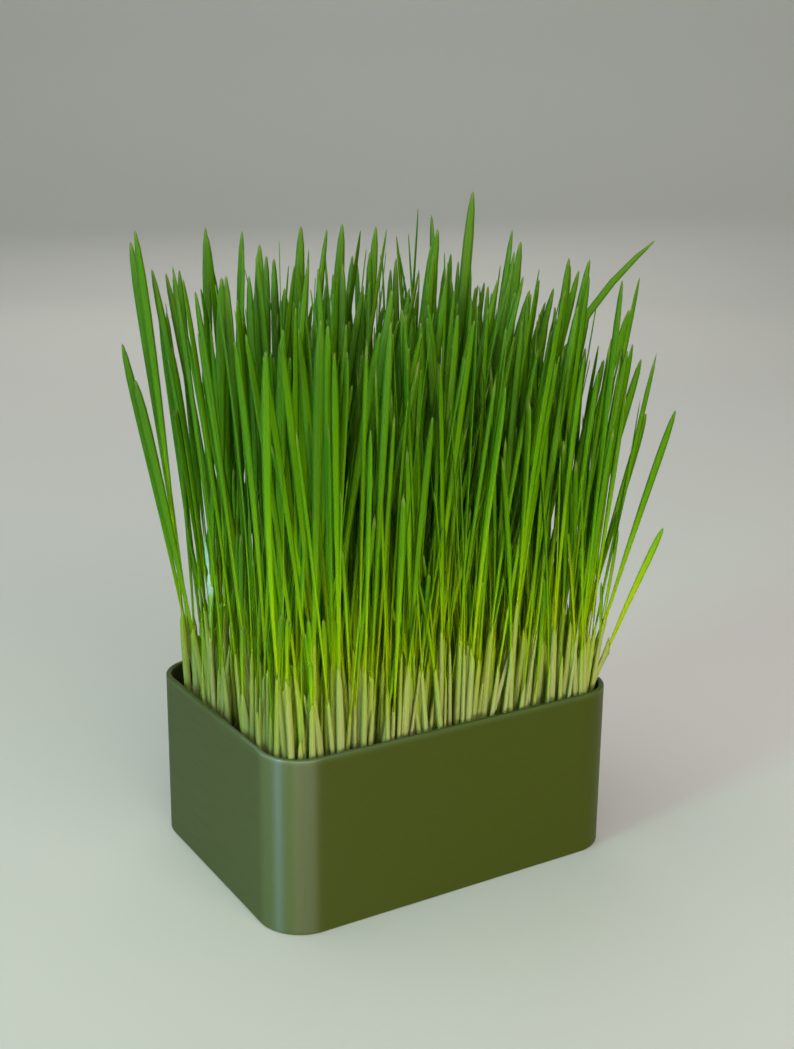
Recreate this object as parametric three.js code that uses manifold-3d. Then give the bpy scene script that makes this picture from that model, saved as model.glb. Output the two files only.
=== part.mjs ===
// A tray of wheatgrass: a plain straight-walled planter with round corners, filled with growing
// medium, on which a dense turf of wheat seedlings stands. The turf is a mat of spent grains and
// roots that carries the shoots, in pieces as it parts when it is lifted out by hand.
// Millimetres, +Z up. The origin is the centre of the tray's underside, X runs along the long side,
// and -Y is the long side that faces the viewer.
import * as THREE from "three";
import { mergeVertices } from "three/addons/utils/BufferGeometryUtils.js";
import Module from "manifold-3d";

const wasm = await Module();
wasm.setup();

// Driving dimensions of the tray
const TRAY_LENGTH = 156;
const TRAY_WIDTH = 118;
const TRAY_HEIGHT = 70;
const CORNER_RADIUS = 17.5;
const WALL = 2.2;
const FLOOR = 2.6;
const EDGE_ROUND = 0.8;
const INNER_FILLET = 1.6;
const CORNER_STEPS = 9;
const EDGE_STEPS = 2;
const GAP = 0.3;

// Driving dimensions of the turf's mat and of the pieces that it parts into
const MAT_TOP = 60;
const MAT_THICKNESS = 5;
const COLUMNS = 7;
const ROWS = 5;
const SEAM_GAP = 0.5;
const SEAM_WANDER = 1.6;
const WANDER_X = { perColumn: 3.1, perRow: 5.3 };
const WANDER_Y = { perColumn: 4.7, perRow: 2.9 };

// Driving dimensions of a shoot: a pale round sheath below, one flat leaf above
const SHOOT_HEIGHT = 168;
const ROOT_DEPTH = 2.5;
const SHEATH_WIDTH = 2.6;
const SHEATH_TOP_WIDTH = 2;
const SHEATH_SHARE = 0.17;
const LEAF_WIDTH_LEAST = 2.8;
const LEAF_WIDTH_MOST = 4.3;
const LEAF_BASE_SHARE = 0.32;
const WIDEST_FROM = 0.78;
const SECTION_SHARES = [0, SHEATH_SHARE, 0.55, 0.9];
const SECTION_DEPTHS = [1.9, 1.3, 0.95, 0.85];
const RIDGE_SHARE = 0.65;

// Where shoots stand: how many a piece has room for, their distance from seams, wall and each
// other, the corner that none of them comes near, how far they draw together in clumps, and the
// steps of the sequence that spreads them
const SHOOTS_PER_PIECE = 18;
const SEAM_MARGIN = 1.9;
const WALL_MARGIN = 3.4;
const WALL_CLEARANCE = 0.8;
const LEAST_SPACING = 2.4;
const BARE_CORNER = new THREE.Vector2(-TRAY_LENGTH / 2, TRAY_WIDTH / 2);
const BARE_RADIUS = 22.5;
const CLUMP_PULL = 0.22;
const CLUMP_SHARES = [0.25, 0.75];
const SPREAD_U = 0.7548776662;
const SPREAD_V = 0.569840291;
const SPREAD_STRIDE = 17;
const DRAWS_PER_PLACE = 12;

// How shoots lean, as slopes: the whole turf's fan and drift, a clump's own fan for each
// millimetre from its middle, the scatter of a single shoot, the most that one leans, and how much
// less that is at the wall. Shoots are lower towards the front and the right end.
const FAN_X = 0.085;
const FAN_Y = 0.05;
const DRIFT_X = 0.035;
const DRIFT_Y = -0.015;
const CLUMP_FAN = 0.011;
const SLOPE_SCATTER = 0.26;
const SLOPE_MOST = 0.2;
const EDGE_CALM = 0.115;
const HEIGHT_SCATTER = 38;
const FRONT_DROP = 14;
const END_DROP = 36;
const DROP_POWER = 3;
const CURL_LEAST = 0.15;
const CURL_RANGE = 0.5;
const BOW = 4;
const TWIST = 0.45;

// The search for shoots that touch no other: the gap between leaves, the height between two
// tests, the reach of a shoot's lean, how often a shoot is drawn anew, and how much calmer the last
// draw is
const CLEARANCE = 0.3;
const TEST_STEP = 6;
const NEIGHBOUR_REACH = 46;
const TRIES = 130;
const TRIES_STRIDE = 1000;
const CALMING = 0.7;
const SETTLE_STEP = 0.05;

// The repeatable draws: a linear congruential generator
const SEED = 20417;
const SEED_STRIDE = 7919;
const DRAW_FACTOR = 1664525;
const DRAW_STEP = 1013904223;
const DRAW_RANGE = 2 ** 32;

// The direction across the viewer's line of sight, as an angle from +X
const ACROSS_VIEW = -0.55;

// How an outline shoot's lean grows and how far its leaf twists, where its list says nothing else
const OUTLINE_CURL = 0.1;
const LEAN_POWER = 2;
const OUTLINE_TWIST = 0.2;

// Shoots that make the turf's outline: where each stands on the mat, where its tip is above the
// table, how wide its leaf is, and how its lean grows where it isn't nearly straight
const OUTLINE_SHOOTS = [
  { base: [-66, 39], tip: [-83.5, 52, 246], width: 4.4 },
  { base: [-66.5, 34], tip: [-90.5, 46.5, 208], width: 3.8 },
  { base: [-67.5, 25], tip: [-89, 38, 195], width: 4.2 },
  { base: [-61, 40], tip: [-75, 45.5, 222], width: 4.2 },
  { base: [-58, 45], tip: [-65.5, 48, 235], width: 3.6 },
  { base: [-54, 49], tip: [-54, 48, 251], width: 4 },
  { base: [-68, 14], tip: [-64, 11.5, 235], width: 4.6 },
  { base: [-50, 40], tip: [-44, 36, 250], width: 3.6 },
  { base: [-48, 20], tip: [-45, 18.5, 246], width: 4.8 },
  { base: [-30, 30], tip: [-23.5, 26, 252], width: 5 },
  { base: [-12, 40], tip: [-1, 33.5, 252], width: 5 },
  { base: [2, 35], tip: [12, 29, 251], width: 4.6 },
  { base: [20, 30], tip: [36, 20, 250], width: 4.8 },
  { base: [35, 19], tip: [48, 13, 265], width: 5.2 },
  { base: [52, 12], tip: [69, 8, 245], width: 4.8 },
  { base: [60, -12], tip: [74, -18, 240], width: 4.2 },
  { base: [68, 2], tip: [85, -5, 236], width: 4.4 },
  { base: [70, 25], tip: [101, 9, 232], width: 4.2 },
  { base: [69, 8], tip: [126, -10, 245], width: 3.8, curl: 0.75, power: 5 },
  { base: [70, -4], tip: [105, -20, 218], width: 4 },
  { base: [70, -21], tip: [99, -36, 200], width: 4 },
  { base: [70, -33], tip: [93, -47.5, 180], width: 3.8 },
  { base: [70, -42], tip: [97, -60, 183], width: 3.6 },
  { base: [67, -47.5], tip: [98, -56, 134], width: 3.4 },
  { base: [-59, -47], tip: [-57, -52, 226], width: 4.4 },
  { base: [-68, -38], tip: [-66, -42, 222], width: 4.6 },
];

const COLOURS = {
  tray: 0x5d7346,
  soil: 0x2f2318,
  mat: 0x7a6a3c,
  sheath: 0xc3cc86,
  leaf: 0x4d9a25,
  tip: 0x63a84a,
};

// Heights above the mat between which the shoots are pale, and where they are fully green
const PALE_FROM = 4;
const PALE_TO = 22;
const GREEN_FROM = 60;

// Turns a closed three.js geometry into a solid that can be joined and cut.
function solidOf(geometry) {
  const bare = geometry.index ? geometry.toNonIndexed() : geometry.clone();
  bare.deleteAttribute("normal");
  bare.deleteAttribute("uv");
  const merged = mergeVertices(bare, 1e-4);
  return new wasm.Manifold(
    new wasm.Mesh({
      numProp: 3,
      vertProperties: new Float32Array(merged.attributes.position.array),
      triVerts: new Uint32Array(merged.index.array),
    }),
  );
}

// Turns a solid back into a three.js geometry.
function geometryOf(solid) {
  const mesh = solid.getMesh();
  const geometry = new THREE.BufferGeometry();
  geometry.setAttribute("position", new THREE.BufferAttribute(new Float32Array(mesh.vertProperties), 3));
  geometry.setIndex(new THREE.BufferAttribute(new Uint32Array(mesh.triVerts), 1));
  return geometry;
}

// The tray's outline drawn inwards by an inset: a rectangle with round corners.
function roundedOutline(inset) {
  const halfLength = TRAY_LENGTH / 2 - inset;
  const halfWidth = TRAY_WIDTH / 2 - inset;
  const radius = CORNER_RADIUS - inset;
  const shape = new THREE.Shape();
  shape.absarc(halfLength - radius, halfWidth - radius, radius, 0, Math.PI / 2);
  shape.absarc(radius - halfLength, halfWidth - radius, radius, Math.PI / 2, Math.PI);
  shape.absarc(radius - halfLength, radius - halfWidth, radius, Math.PI, 1.5 * Math.PI);
  shape.absarc(halfLength - radius, radius - halfWidth, radius, 1.5 * Math.PI, 2 * Math.PI);
  return shape;
}

// A block with that outline between two heights, its top and bottom edges rounded.
function roundedBlock(inset, bottom, top, edge) {
  const geometry = new THREE.ExtrudeGeometry(roundedOutline(inset), {
    depth: top - bottom - 2 * edge,
    steps: 1,
    curveSegments: CORNER_STEPS,
    bevelEnabled: edge > 0,
    bevelThickness: edge,
    bevelSize: edge,
    bevelOffset: -edge,
    bevelSegments: EDGE_STEPS,
  });
  geometry.translate(0, 0, bottom + edge);
  return solidOf(geometry);
}

// The tray: one moulded shell, open at the top.
function makeTray() {
  const outside = roundedBlock(0, 0, TRAY_HEIGHT, EDGE_ROUND);
  const cavity = roundedBlock(WALL, FLOOR, TRAY_HEIGHT + 2 * INNER_FILLET, INNER_FILLET);
  return outside.subtract(cavity);
}

// The growing medium, from the tray's floor up to just under the mat; its underside is at zero.
function makeSoil() {
  return roundedBlock(WALL + GAP, 0, MAT_TOP - MAT_THICKNESS - FLOOR - 2 * GAP, INNER_FILLET);
}

// How far a point lies inside the tray's wall: its distance from the outline, negative outside.
function insideOutline(x, y) {
  const dx = Math.abs(x) - (TRAY_LENGTH / 2 - CORNER_RADIUS);
  const dy = Math.abs(y) - (TRAY_WIDTH / 2 - CORNER_RADIUS);
  return CORNER_RADIUS - Math.hypot(Math.max(dx, 0), Math.max(dy, 0)) - Math.min(Math.max(dx, dy), 0);
}

// A crossing of the seams between the turf's pieces: an even grid, wandering away from the wall.
function seamCrossing(column, row) {
  const alongX = column / COLUMNS - 0.5;
  const alongY = row / ROWS - 0.5;
  const waveOf = (phase) => SEAM_WANDER * Math.sin(phase.perColumn * column + phase.perRow * row);
  const wanderX = Math.abs(alongX) < 0.5 ? waveOf(WANDER_X) : 0;
  const wanderY = Math.abs(alongY) < 0.5 ? waveOf(WANDER_Y) : 0;
  return new THREE.Vector2(
    alongX * (TRAY_LENGTH - 2 * WALL) + wanderX,
    alongY * (TRAY_WIDTH - 2 * WALL) + wanderY,
  );
}

// One piece of the turf: its name, its four corners anticlockwise, and its middle.
function makeCell(column, row) {
  const corners = [[0, 0], [1, 0], [1, 1], [0, 1]].map(([i, j]) => seamCrossing(column + i, row + j));
  const middle = new THREE.Vector2();
  corners.forEach((corner) => middle.addScaledVector(corner, 1 / corners.length));
  return { name: `wheatgrass_r${row + 1}_c${column + 1}`, corners, middle };
}

// How far inside a cell a point lies: the least distance to its four sides, negative outside.
function insideCell({ corners }, point) {
  const depths = corners.map((start, k) => {
    const side = corners[(k + 1) % corners.length].clone().sub(start);
    return side.cross(point.clone().sub(start)) / side.length();
  });
  return Math.min(...depths);
}

// The point of a cell at shares u and v of its width and length.
function pointInCell({ corners }, u, v) {
  const low = corners[0].clone().lerp(corners[1], u);
  const high = corners[3].clone().lerp(corners[2], u);
  return low.lerp(high, v);
}

// True where a shoot's base stands clear of the seams, of the wall and of the bare corner.
function canStand(cell, point) {
  if (point.distanceTo(BARE_CORNER) < BARE_RADIUS) return false;
  return insideCell(cell, point) > SEAM_MARGIN && insideOutline(point.x, point.y) > WALL + WALL_MARGIN;
}

// The places of a cell where shoots stand, spread evenly by a low-discrepancy sequence and then
// drawn towards the middle of the quarter they are in, which makes four loose clumps.
function placesInCell(cell, first) {
  const places = [];
  for (let n = 1; places.length < SHOOTS_PER_PIECE && n < DRAWS_PER_PLACE * SHOOTS_PER_PIECE; n += 1) {
    const u = (0.5 + SPREAD_U * (n + first)) % 1;
    const v = (0.5 + SPREAD_V * (n + first)) % 1;
    const clump = pointInCell(cell, CLUMP_SHARES[Math.round(u)], CLUMP_SHARES[Math.round(v)]);
    const point = pointInCell(cell, u, v).lerp(clump, CLUMP_PULL);
    if (canStand(cell, point)) places.push({ point, offset: point.clone().sub(clump) });
  }
  return places;
}

// A repeatable source of draws from 0 to 1, started anew for each try.
function drawsFrom(start) {
  let state = (SEED + start * SEED_STRIDE) % DRAW_RANGE;
  const next = () => {
    state = (state * DRAW_FACTOR + DRAW_STEP) % DRAW_RANGE;
    return state / DRAW_RANGE;
  };
  next();
  next();
  return next;
}

// A draw from -1 to 1 that favours the middle: three even draws averaged.
function scatter(draw) {
  return (draw() + draw() + draw()) / 1.5 - 1;
}

// A shoot drawn at random. It leans with the turf's fan and its clump's, and a later try leans less.
function randomShoot({ point, offset }, draw, liveliness) {
  const atEnd = point.x / (TRAY_LENGTH / 2);
  const atSide = point.y / (TRAY_WIDTH / 2);
  const slope = new THREE.Vector2(FAN_X * atEnd + DRIFT_X, FAN_Y * atSide + DRIFT_Y);
  slope.addScaledVector(offset, CLUMP_FAN);
  slope.add(new THREE.Vector2(scatter(draw), scatter(draw)).multiplyScalar(SLOPE_SCATTER * liveliness));
  slope.clampLength(0, SLOPE_MOST - EDGE_CALM * Math.max(Math.abs(atEnd), Math.abs(atSide)) ** 2);
  const frontDrop = FRONT_DROP * Math.max(-atSide, 0) ** DROP_POWER;
  const endDrop = END_DROP * Math.max(atEnd, 0) ** DROP_POWER;
  return {
    base: point,
    slope,
    height: SHOOT_HEIGHT + HEIGHT_SCATTER * scatter(draw) - Math.max(frontDrop, endDrop),
    curl: CURL_LEAST + CURL_RANGE * draw(),
    power: LEAN_POWER,
    bow: BOW * scatter(draw),
    bowTurn: Math.PI * draw(),
    facing: Math.PI * draw(),
    twist: TWIST * (2 * draw() - 1),
    width: LEAF_WIDTH_LEAST + (LEAF_WIDTH_MOST - LEAF_WIDTH_LEAST) * draw(),
  };
}

// A shoot of the outline list, nearly straight, with its flat side to the viewer.
function outlineShoot({ tip, width, curl = OUTLINE_CURL, power = LEAN_POWER }, base) {
  const height = tip[2] - MAT_TOP + ROOT_DEPTH;
  return {
    base,
    slope: new THREE.Vector2(tip[0] - base.x, tip[1] - base.y).divideScalar(height),
    height,
    curl,
    power,
    bow: 0,
    bowTurn: 0,
    facing: ACROSS_VIEW,
    twist: OUTLINE_TWIST,
    width,
  };
}

// Half the shoot's width at a share of its height: the sheath, then the leaf, which widens
// upwards and closes in a long round point.
function halfWidth(shoot, share) {
  if (share <= SHEATH_SHARE) {
    return THREE.MathUtils.lerp(SHEATH_WIDTH, SHEATH_TOP_WIDTH, share / SHEATH_SHARE) / 2;
  }
  const up = (share - SHEATH_SHARE) / (1 - SHEATH_SHARE);
  const widened = LEAF_BASE_SHARE + (1 - LEAF_BASE_SHARE) * THREE.MathUtils.smoothstep(up, 0, WIDEST_FROM);
  const past = Math.max(0, (up - WIDEST_FROM) / (1 - WIDEST_FROM));
  return (shoot.width / 2) * widened * Math.sqrt(1 - past * past);
}

// The middle of a shoot at a share of its height, with zero at the mat's top: the lean grows as it
// rises, and it bows a little to one side.
function middleAt(shoot, share) {
  const reach = shoot.height * ((1 - shoot.curl) * share + shoot.curl * share ** shoot.power);
  const bow = shoot.bow * Math.sin(Math.PI * share);
  return new THREE.Vector3(
    shoot.base.x + shoot.slope.x * reach - Math.sin(shoot.bowTurn) * bow,
    shoot.base.y + shoot.slope.y * reach + Math.cos(shoot.bowTurn) * bow,
    shoot.height * share - ROOT_DEPTH,
  );
}

// The cross-sections of a shoot from its root up, the last of them its tip.
function sectionsOf(shoot) {
  const sections = SECTION_SHARES.map((share, step) => {
    const turn = shoot.facing + shoot.twist * share;
    return {
      middle: middleAt(shoot, share),
      across: new THREE.Vector3(Math.cos(turn), Math.sin(turn), 0).multiplyScalar(halfWidth(shoot, share)),
      depth: SECTION_DEPTHS[step],
    };
  });
  sections.push({ middle: middleAt(shoot, 1), across: new THREE.Vector3(), depth: 0 });
  return sections;
}

// The shoot's two edges and its depth at each test height above the mat.
function traceOf(shoot) {
  const sections = sectionsOf(shoot);
  const top = sections[sections.length - 1].middle.z;
  const trace = [];
  let below = 0;
  for (let z = 0; z < top; z += TEST_STEP) {
    while (sections[below + 1].middle.z < z) below += 1;
    const [low, high] = [sections[below], sections[below + 1]];
    const share = (z - low.middle.z) / (high.middle.z - low.middle.z);
    const middle = low.middle.clone().lerp(high.middle, share);
    const across = low.across.clone().lerp(high.across, share);
    trace.push({
      left: middle.clone().sub(across),
      right: middle.clone().add(across),
      depth: THREE.MathUtils.lerp(low.depth, high.depth, share),
    });
  }
  return trace;
}

// The distance from a point to the line between two others, seen from above.
function distanceToLine(point, start, end) {
  const dx = end.x - start.x;
  const dy = end.y - start.y;
  const along = ((point.x - start.x) * dx + (point.y - start.y) * dy) / (dx * dx + dy * dy || 1);
  const share = THREE.MathUtils.clamp(along, 0, 1);
  return Math.hypot(point.x - start.x - dx * share, point.y - start.y - dy * share);
}

// On which side of the line between two points a third one lies, seen from above.
function sideOfLine(start, end, point) {
  return Math.sign((end.x - start.x) * (point.y - start.y) - (end.y - start.y) * (point.x - start.x));
}

// The gap between two shoots at one height: zero where their widths cross.
function gapBetween(one, other) {
  const splits = (a, b) => sideOfLine(a.left, a.right, b.left) !== sideOfLine(a.left, a.right, b.right);
  if (splits(one, other) && splits(other, one)) return 0;
  return Math.min(
    distanceToLine(one.left, other.left, other.right),
    distanceToLine(one.right, other.left, other.right),
    distanceToLine(other.left, one.left, one.right),
    distanceToLine(other.right, one.left, one.right),
  );
}

// True when two shoots come closer at any height than their depths and the clearance allow.
function tracesTouch(trace, otherTrace) {
  const levels = Math.min(trace.length, otherTrace.length);
  for (let k = 0; k < levels; k += 1) {
    const needed = RIDGE_SHARE * (trace[k].depth + otherTrace[k].depth) + CLEARANCE;
    if (gapBetween(trace[k], otherTrace[k]) < needed) return true;
  }
  return false;
}

// True when a shoot would run into the tray's wall below the rim.
function meetsWall(trace) {
  const belowRim = trace.slice(0, Math.ceil((TRAY_HEIGHT - MAT_TOP) / TEST_STEP) + 1);
  const needed = WALL + WALL_CLEARANCE;
  return belowRim.some(
    ({ left, right }) => insideOutline(left.x, left.y) < needed || insideOutline(right.x, right.y) < needed,
  );
}

// Moves the base of an outline shoot towards its cell's middle until it can stand there.
function settleBase(cell, wanted) {
  for (let share = 0; share < 1; share += SETTLE_STEP) {
    const base = wanted.clone().lerp(cell.middle, share);
    if (canStand(cell, base)) return base;
  }
  return cell.middle;
}

// Grows the turf: the outline's shoots first, then each cell's, every one clear of those before it.
function growShoots(cells) {
  const grown = [];
  const isClear = (shoot, trace) =>
    !grown.some(
      (other) => other.base.distanceTo(shoot.base) < NEIGHBOUR_REACH && tracesTouch(trace, other.trace),
    );
  for (const listed of OUTLINE_SHOOTS) {
    const wanted = new THREE.Vector2(...listed.base);
    const cell = cells.reduce((best, other) =>
      insideCell(other, wanted) > insideCell(best, wanted) ? other : best,
    );
    const shoot = outlineShoot(listed, settleBase(cell, wanted));
    const trace = traceOf(shoot);
    if (isClear(shoot, trace)) grown.push({ ...shoot, trace, cell });
  }
  cells.forEach((cell, order) => {
    for (const place of placesInCell(cell, SPREAD_STRIDE * order)) {
      const isTaken = grown.some((other) => other.base.distanceTo(place.point) < LEAST_SPACING);
      for (let attempt = 0; attempt < TRIES && !isTaken; attempt += 1) {
        const draw = drawsFrom(TRIES_STRIDE * grown.length + attempt);
        const shoot = randomShoot(place, draw, 1 - (CALMING * attempt) / TRIES);
        const trace = traceOf(shoot);
        if (!meetsWall(trace) && isClear(shoot, trace)) {
          grown.push({ ...shoot, trace, cell });
          break;
        }
      }
    }
  });
  return grown;
}

// The solid of one shoot: its three-sided sections joined up to the pointed tip.
function shootSolid(shoot) {
  const sections = sectionsOf(shoot);
  const tip = sections.pop();
  const points = sections.flatMap(({ middle, across, depth }) => {
    const outwards = new THREE.Vector3(-across.y, across.x, 0).setLength(depth);
    const back = middle.clone().addScaledVector(outwards, RIDGE_SHARE - 1);
    return [
      back.clone().sub(across),
      back.clone().add(across),
      middle.clone().addScaledVector(outwards, RIDGE_SHARE),
    ];
  });
  points.push(tip.middle);
  const top = 3 * (sections.length - 1);
  const faces = [0, 2, 1];
  for (let side = 0; side < 3; side += 1) {
    const next = (side + 1) % 3;
    for (let ring = 0; ring < top; ring += 3) {
      faces.push(ring + side, ring + next, ring + next + 3, ring + side, ring + next + 3, ring + side + 3);
    }
    faces.push(top + side, top + next, top + 3);
  }
  const geometry = new THREE.BufferGeometry().setFromPoints(points);
  geometry.setIndex(faces);
  return solidOf(geometry);
}

// The mat of one piece of turf, its top at zero: its cell, cut to the inside of the tray.
function matSolid({ corners, middle }) {
  const shape = new THREE.Shape(
    corners.map((corner) => {
      const outwards = corner.clone().sub(middle);
      const step = new THREE.Vector2(Math.sign(outwards.x), Math.sign(outwards.y));
      return corner.clone().addScaledVector(step, -SEAM_GAP / 2);
    }),
  );
  const slab = new THREE.ExtrudeGeometry(shape, { depth: MAT_THICKNESS, steps: 1, bevelEnabled: false });
  slab.translate(0, 0, -MAT_THICKNESS);
  return solidOf(slab).intersect(roundedBlock(WALL + GAP, -2 * MAT_THICKNESS, MAT_THICKNESS, 0));
}

// Colours the turf by height: the mat, pale sheaths, green leaves and their lighter tips.
function paintByHeight(geometry) {
  const stops = [
    { height: 0, colour: new THREE.Color(COLOURS.mat) },
    { height: PALE_FROM, colour: new THREE.Color(COLOURS.sheath) },
    { height: PALE_TO, colour: new THREE.Color(COLOURS.sheath) },
    { height: GREEN_FROM, colour: new THREE.Color(COLOURS.leaf) },
    { height: SHOOT_HEIGHT, colour: new THREE.Color(COLOURS.tip) },
  ];
  const position = geometry.attributes.position;
  const colours = [];
  for (let i = 0; i < position.count; i += 1) {
    const colour = stops[0].colour.clone();
    for (let k = 1; k < stops.length; k += 1) {
      const rise = (position.getZ(i) - stops[k - 1].height) / (stops[k].height - stops[k - 1].height);
      colour.lerp(stops[k].colour, THREE.MathUtils.clamp(rise, 0, 1));
    }
    colours.push(...colour.toArray());
  }
  geometry.setAttribute("color", new THREE.Float32BufferAttribute(colours, 3));
  return geometry;
}

// Adds one named piece to a group, at a height.
function addPiece(group, name, geometry, material, height = 0) {
  const mesh = new THREE.Mesh(geometry, material);
  mesh.name = name;
  mesh.position.z = height;
  group.add(mesh);
}

const part = new THREE.Group();
const plastic = new THREE.MeshStandardMaterial({ color: COLOURS.tray, roughness: 0.45, metalness: 0 });
const medium = new THREE.MeshStandardMaterial({ color: COLOURS.soil, roughness: 1, metalness: 0 });
addPiece(part, "tray", geometryOf(makeTray()), plastic);
addPiece(part, "soil", geometryOf(makeSoil()), medium, FLOOR + GAP);

const turf = new THREE.Group();
turf.position.z = MAT_TOP;
part.add(turf);
const cells = [];
for (let row = 0; row < ROWS; row += 1) {
  for (let column = 0; column < COLUMNS; column += 1) cells.push(makeCell(column, row));
}
const shoots = growShoots(cells);
for (const cell of cells) {
  const stems = shoots.filter((shoot) => shoot.cell === cell).map(shootSolid);
  const piece = wasm.Manifold.union([matSolid(cell), ...stems]);
  const living = new THREE.MeshStandardMaterial({ vertexColors: true, roughness: 0.5, metalness: 0 });
  addPiece(turf, cell.name, paintByHeight(geometryOf(piece)), living);
}

export default part;
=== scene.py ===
"""A tray of wheatgrass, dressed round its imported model. Lengths are in metres, +Z up."""
import math

import bpy
import numpy as np
from mathutils import Matrix, Vector


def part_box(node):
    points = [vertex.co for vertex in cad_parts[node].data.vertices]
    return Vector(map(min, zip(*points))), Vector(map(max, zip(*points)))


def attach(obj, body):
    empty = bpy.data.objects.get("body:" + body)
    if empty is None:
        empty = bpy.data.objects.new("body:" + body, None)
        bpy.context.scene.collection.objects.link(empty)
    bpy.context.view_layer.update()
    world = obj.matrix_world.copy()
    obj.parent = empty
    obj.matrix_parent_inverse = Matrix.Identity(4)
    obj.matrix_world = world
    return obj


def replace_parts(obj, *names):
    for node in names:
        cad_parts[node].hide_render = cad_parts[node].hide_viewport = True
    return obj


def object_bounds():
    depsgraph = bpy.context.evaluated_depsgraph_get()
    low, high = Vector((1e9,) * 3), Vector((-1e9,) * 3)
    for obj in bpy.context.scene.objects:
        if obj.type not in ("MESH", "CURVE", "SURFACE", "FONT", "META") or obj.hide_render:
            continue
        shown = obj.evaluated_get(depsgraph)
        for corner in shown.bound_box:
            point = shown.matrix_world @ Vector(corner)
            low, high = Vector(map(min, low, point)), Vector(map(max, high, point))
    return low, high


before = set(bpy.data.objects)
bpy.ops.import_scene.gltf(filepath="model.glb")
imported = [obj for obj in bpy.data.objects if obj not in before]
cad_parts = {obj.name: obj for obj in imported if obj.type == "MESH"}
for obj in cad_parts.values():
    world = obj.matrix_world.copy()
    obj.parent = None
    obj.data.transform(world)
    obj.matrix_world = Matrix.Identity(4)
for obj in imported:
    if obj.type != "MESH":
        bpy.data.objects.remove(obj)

cad_low, cad_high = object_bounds()

# The tray. One shell of satin sage-green plastic with straight walls and round corners, laid down
# in fine level layers that draw its gloss out upwards. It is open at the top, its rim and foot
# are slightly rounded, and it stands flat on its closed floor.
tray_low, tray_high = (np.array(corner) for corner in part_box("tray"))
tray_top = tray_high[2]
tray_half = (tray_high - tray_low)[:2] / 2
TRAY_CORNER = 0.0175
TRAY_WALL = 0.0022
TRAY_FLOOR = 0.0026
TRAY_EDGE = 0.0008
TRAY_FILLET = 0.0016
UNDERSIDE_INSET = 0.012
FLOOR_INSET = 0.014
NEAR_EDGE = 0.0015
OFF_EDGE = 0.006
HALF_WAY = 0.035
OFF_FILLET = 0.001
RIM_HIGHLIGHT_BAND = (0.0024, 0.0002)
TRAY_GREEN = (0.029, 0.038, 0.0015, 1)
TRAY_GREEN_LIGHT = (0.035, 0.046, 0.0025, 1)
# A paler colour over the top of the rim: a painted highlight.
TRAY_RIM_HIGHLIGHT = (0.046, 0.064, 0.015, 1)
LAYER_STREAKS = (40, 40, 2600)


def tray_outline(corner_steps, side_steps):
    """The tray's outline from above and its outward normals, anticlockwise.

    In a corner, point = corner centre + radius * normal, with normal = (cos a, sin a). Along a side
    the points run from one corner to the next and lie closer together near both.
    """
    half = tray_half - TRAY_CORNER
    signs = np.array([[1, 1], [-1, 1], [-1, -1], [1, -1]])
    share = (1 - np.cos(np.pi * np.arange(1, side_steps) / side_steps))[:, None] / 2
    points, normals = [], []
    for quarter in range(4):
        angle = (quarter + np.linspace(0, 1, corner_steps + 1)) * np.pi / 2
        normal = np.stack([np.cos(angle), np.sin(angle)], 1)
        corner = signs[quarter] * half + TRAY_CORNER * normal
        following = signs[(quarter + 1) % 4] * half + TRAY_CORNER * normal[-1]
        points += [corner, corner[-1] + (following - corner[-1]) * share]
        normals += [normal, np.repeat(normal[-1:], len(share), 0)]
    return np.concatenate(points), np.concatenate(normals)


def arc(centre, radius, start, end, steps=6):
    """Points of an arc: centre + radius * (cos a, sin a), with a from start to end in degrees."""
    angle = np.radians(np.linspace(start, end, steps + 1))
    return np.array(centre) + radius * np.stack([np.cos(angle), np.sin(angle)], 1)


def ring_quads(rings, around):
    """Quads between rings of points, each ring closed: row r, column c to row r + 1, column c + 1."""
    row, column = np.meshgrid(np.arange(rings - 1), np.arange(around), indexing="ij")
    after = (column + 1) % around
    low, high = row * around, (row + 1) * around
    return np.stack([low + column, low + after, high + after, high + column], -1).reshape(-1, 4)


def ring_cap(ring, around, pole, upwards):
    """Triangles from one ring to a single point that closes it."""
    start = ring * around + np.arange(around)
    end = ring * around + (np.arange(around) + 1) % around
    apex = np.full(around, pole)
    return np.stack([start, end, apex] if upwards else [end, start, apex], -1)


def closed_faces(rings, around):
    """Faces of rings that run upwards, closed at the foot by the point after them and at the top by
    the next one."""
    foot = rings * around
    ends = [ring_cap(0, around, foot, False), ring_cap(rings - 1, around, foot + 1, True)]
    return [ring_quads(rings, around)] + ends


def lathe_round(outline, normals, profile):
    """A closed shell: point = outline point - inset * normal at the profile's height, for each
    (inset, height) of the profile, closed by a point in the middle at both ends."""
    inset, height = profile[:, :1, None], profile[:, 1]
    plan = outline[None] - inset * normals[None]
    rings = np.concatenate([plan, np.broadcast_to(height[:, None, None], plan.shape[:2] + (1,))], 2)
    poles = [[0, 0, height[0]], [0, 0, height[-1]]]
    points = np.concatenate([rings.reshape(-1, 3), poles])
    return points, closed_faces(len(profile), len(outline))


def make_piece(name, points, faces, materials, face_material=None):
    """One smooth mesh object of the scene, riding on the tray's body."""
    mesh = bpy.data.meshes.new(name)
    mesh.from_pydata(points.tolist(), [], [face for group in faces for face in group.tolist()])
    for material in materials:
        mesh.materials.append(material)
    mesh.polygons.foreach_set("use_smooth", np.ones(len(mesh.polygons), bool))
    if face_material is not None:
        mesh.polygons.foreach_set("material_index", face_material.astype(np.int32))
    mesh.update()
    piece = bpy.data.objects.new(name, mesh)
    bpy.context.scene.collection.objects.link(piece)
    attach(piece, "root")
    return piece


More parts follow.
